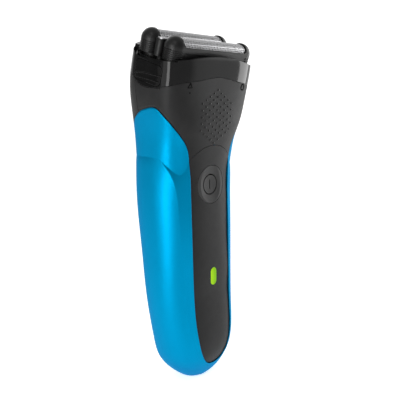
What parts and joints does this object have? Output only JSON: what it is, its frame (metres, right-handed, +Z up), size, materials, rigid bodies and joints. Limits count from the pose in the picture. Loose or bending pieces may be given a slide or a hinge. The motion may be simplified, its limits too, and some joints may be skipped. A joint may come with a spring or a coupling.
{
  "type": "electric shaver",
  "caption": "Electric foil shaver with a flared handle, wrap-round grip shell, round power button and a lift-off cassette of two floating foils and a middle trimmer.",
  "frame": {"origin": "middle of the charging socket's mouth in the base, which is the middle of the bounding box's underside", "axes": "+Z up the handle to the foils, -Y the front with the power button, +X to the right when looking at the front"},
  "size_m": [0.0538, 0.0393, 0.1573],
  "materials": {
    "grip": "satin metallic blue moulding",
    "casing": "fine grained dark grey moulding",
    "gloss_head": "polished black moulding",
    "button": "soft dark grey",
    "cassette": "matte black moulding",
    "foil": "thin perforated nickel foil",
    "blade": "ground cutter steel",
    "window": "lit green light pipe",
    "inner_plastic": "plain inner moulding",
    "metal": "plated steel",
    "spring": "spring wire",
    "seal": "soft black rubber",
    "battery": "wrapped cell",
    "board": "printed circuit laminate",
    "component": "moulded component",
    "contact": "bright contact metal"
  },
  "bodies": {
    "handle": {"grip_shell": "grip", "front_casing": "casing", "rear_casing": "casing", "switch_panel": "casing", "head_frame": "gloss_head", "head_plate": "inner_plastic", "drive_seal": "seal", "release_spring_left": "spring", "release_spring_right": "spring", "bulkhead": "inner_plastic", "motor_can": "metal", "motor_end_cap": "component", "motor_terminals": "contact", "motor_screws": "metal", "bridge_legs": "inner_plastic", "battery_cell": "battery", "battery_tabs": "contact", "chassis": "inner_plastic", "circuit_board": "board", "tact_switch": "component", "status_led": "window", "controller_chip": "component", "capacitor": "component", "choke": "component", "status_window": "window", "button_spring": "spring", "charging_socket": "component", "socket_pins": "contact", "socket_seal": "seal"},
    "power_button": {"power_button": "button"},
    "release_left": {"release_button_left": "gloss_head"},
    "release_right": {"release_button_right": "gloss_head"},
    "motor_rotor": {"motor_shaft": "metal", "eccentric": "inner_plastic"},
    "drive": {"drive_bridge": "inner_plastic", "drive_pin": "metal"},
    "cassette": {"cassette_frame": "cassette", "front_springs": "spring", "rear_springs": "spring", "trimmer_springs": "spring"},
    "carrier": {"cutter_carrier": "inner_plastic"},
    "front_foil": {"front_foil_frame": "cassette", "front_foil": "foil"},
    "rear_foil": {"rear_foil_frame": "cassette", "rear_foil": "foil"},
    "trimmer": {"trimmer_frame": "cassette", "trimmer_guard": "blade"},
    "front_cutter": {"front_cutter": "blade"},
    "rear_cutter": {"rear_cutter": "blade"},
    "trimmer_blade": {"trimmer_blade": "blade"}
  },
  "joints": [
    {"name": "power_button_press", "type": "slide", "parent": "handle", "child": "power_button", "axis": [0, 1, 0], "range_m": [0, 0.0006], "stiffness_N_per_m": 900, "springref_m": -0.0006, "deforming": ["button_spring"]},
    {"name": "release_left_press", "type": "slide", "parent": "handle", "child": "release_left", "axis": [1, 0, 0], "range_m": [0, 0.0009], "stiffness_N_per_m": 600, "springref_m": -0.0006, "deforming": ["release_spring_left"]},
    {"name": "release_right_press", "type": "slide", "parent": "handle", "child": "release_right", "axis": [-1, 0, 0], "range_m": [0, 0.0009], "stiffness_N_per_m": 600, "springref_m": -0.0006, "deforming": ["release_spring_right"]},
    {"name": "motor_spin", "type": "hinge", "parent": "handle", "child": "motor_rotor", "pos_m": [0, 0.008, 0.1], "axis": [0, 0, 1], "continuous": true},
    {"name": "drive_stroke", "type": "slide", "parent": "handle", "child": "drive", "axis": [1, 0, 0], "range_m": [-0.0009, 0.0009], "deforming": ["bridge_legs"]},
    {"name": "cassette_lift", "type": "slide", "parent": "handle", "child": "cassette", "axis": [0, -0.3256, 0.9455], "range_m": [0, 0.022]},
    {"name": "carrier_stroke", "type": "slide", "parent": "cassette", "child": "carrier", "axis": [1, 0, 0], "range_m": [-0.0009, 0.0009]},
    {"name": "front_foil_float", "type": "slide", "parent": "cassette", "child": "front_foil", "axis": [0, 0.3256, -0.9455], "range_m": [0, 0.0012], "stiffness_N_per_m": 300, "springref_m": -0.0015, "deforming": ["front_springs"]},
    {"name": "rear_foil_float", "type": "slide", "parent": "cassette", "child": "rear_foil", "axis": [0, 0.3256, -0.9455], "range_m": [0, 0.0012], "stiffness_N_per_m": 300, "springref_m": -0.0015, "deforming": ["rear_springs"]},
    {"name": "trimmer_float", "type": "slide", "parent": "cassette", "child": "trimmer", "axis": [0, 0.3256, -0.9455], "range_m": [0, 0.0012], "stiffness_N_per_m": 250, "springref_m": -0.0015, "deforming": ["trimmer_springs"]},
    {"name": "front_cutter_stroke", "type": "slide", "parent": "front_foil", "child": "front_cutter", "axis": [1, 0, 0], "range_m": [-0.0009, 0.0009]},
    {"name": "rear_cutter_stroke", "type": "slide", "parent": "rear_foil", "child": "rear_cutter", "axis": [1, 0, 0], "range_m": [-0.0009, 0.0009]},
    {"name": "trimmer_blade_stroke", "type": "slide", "parent": "trimmer", "child": "trimmer_blade", "axis": [1, 0, 0], "range_m": [-0.0009, 0.0009]}
  ],
  "couplings": [
    {"joint": "carrier_stroke", "follows": "drive_stroke", "ratio": 1},
    {"joint": "front_cutter_stroke", "follows": "drive_stroke", "ratio": 1},
    {"joint": "rear_cutter_stroke", "follows": "drive_stroke", "ratio": 1},
    {"joint": "trimmer_blade_stroke", "follows": "drive_stroke", "ratio": 1}
  ]
}
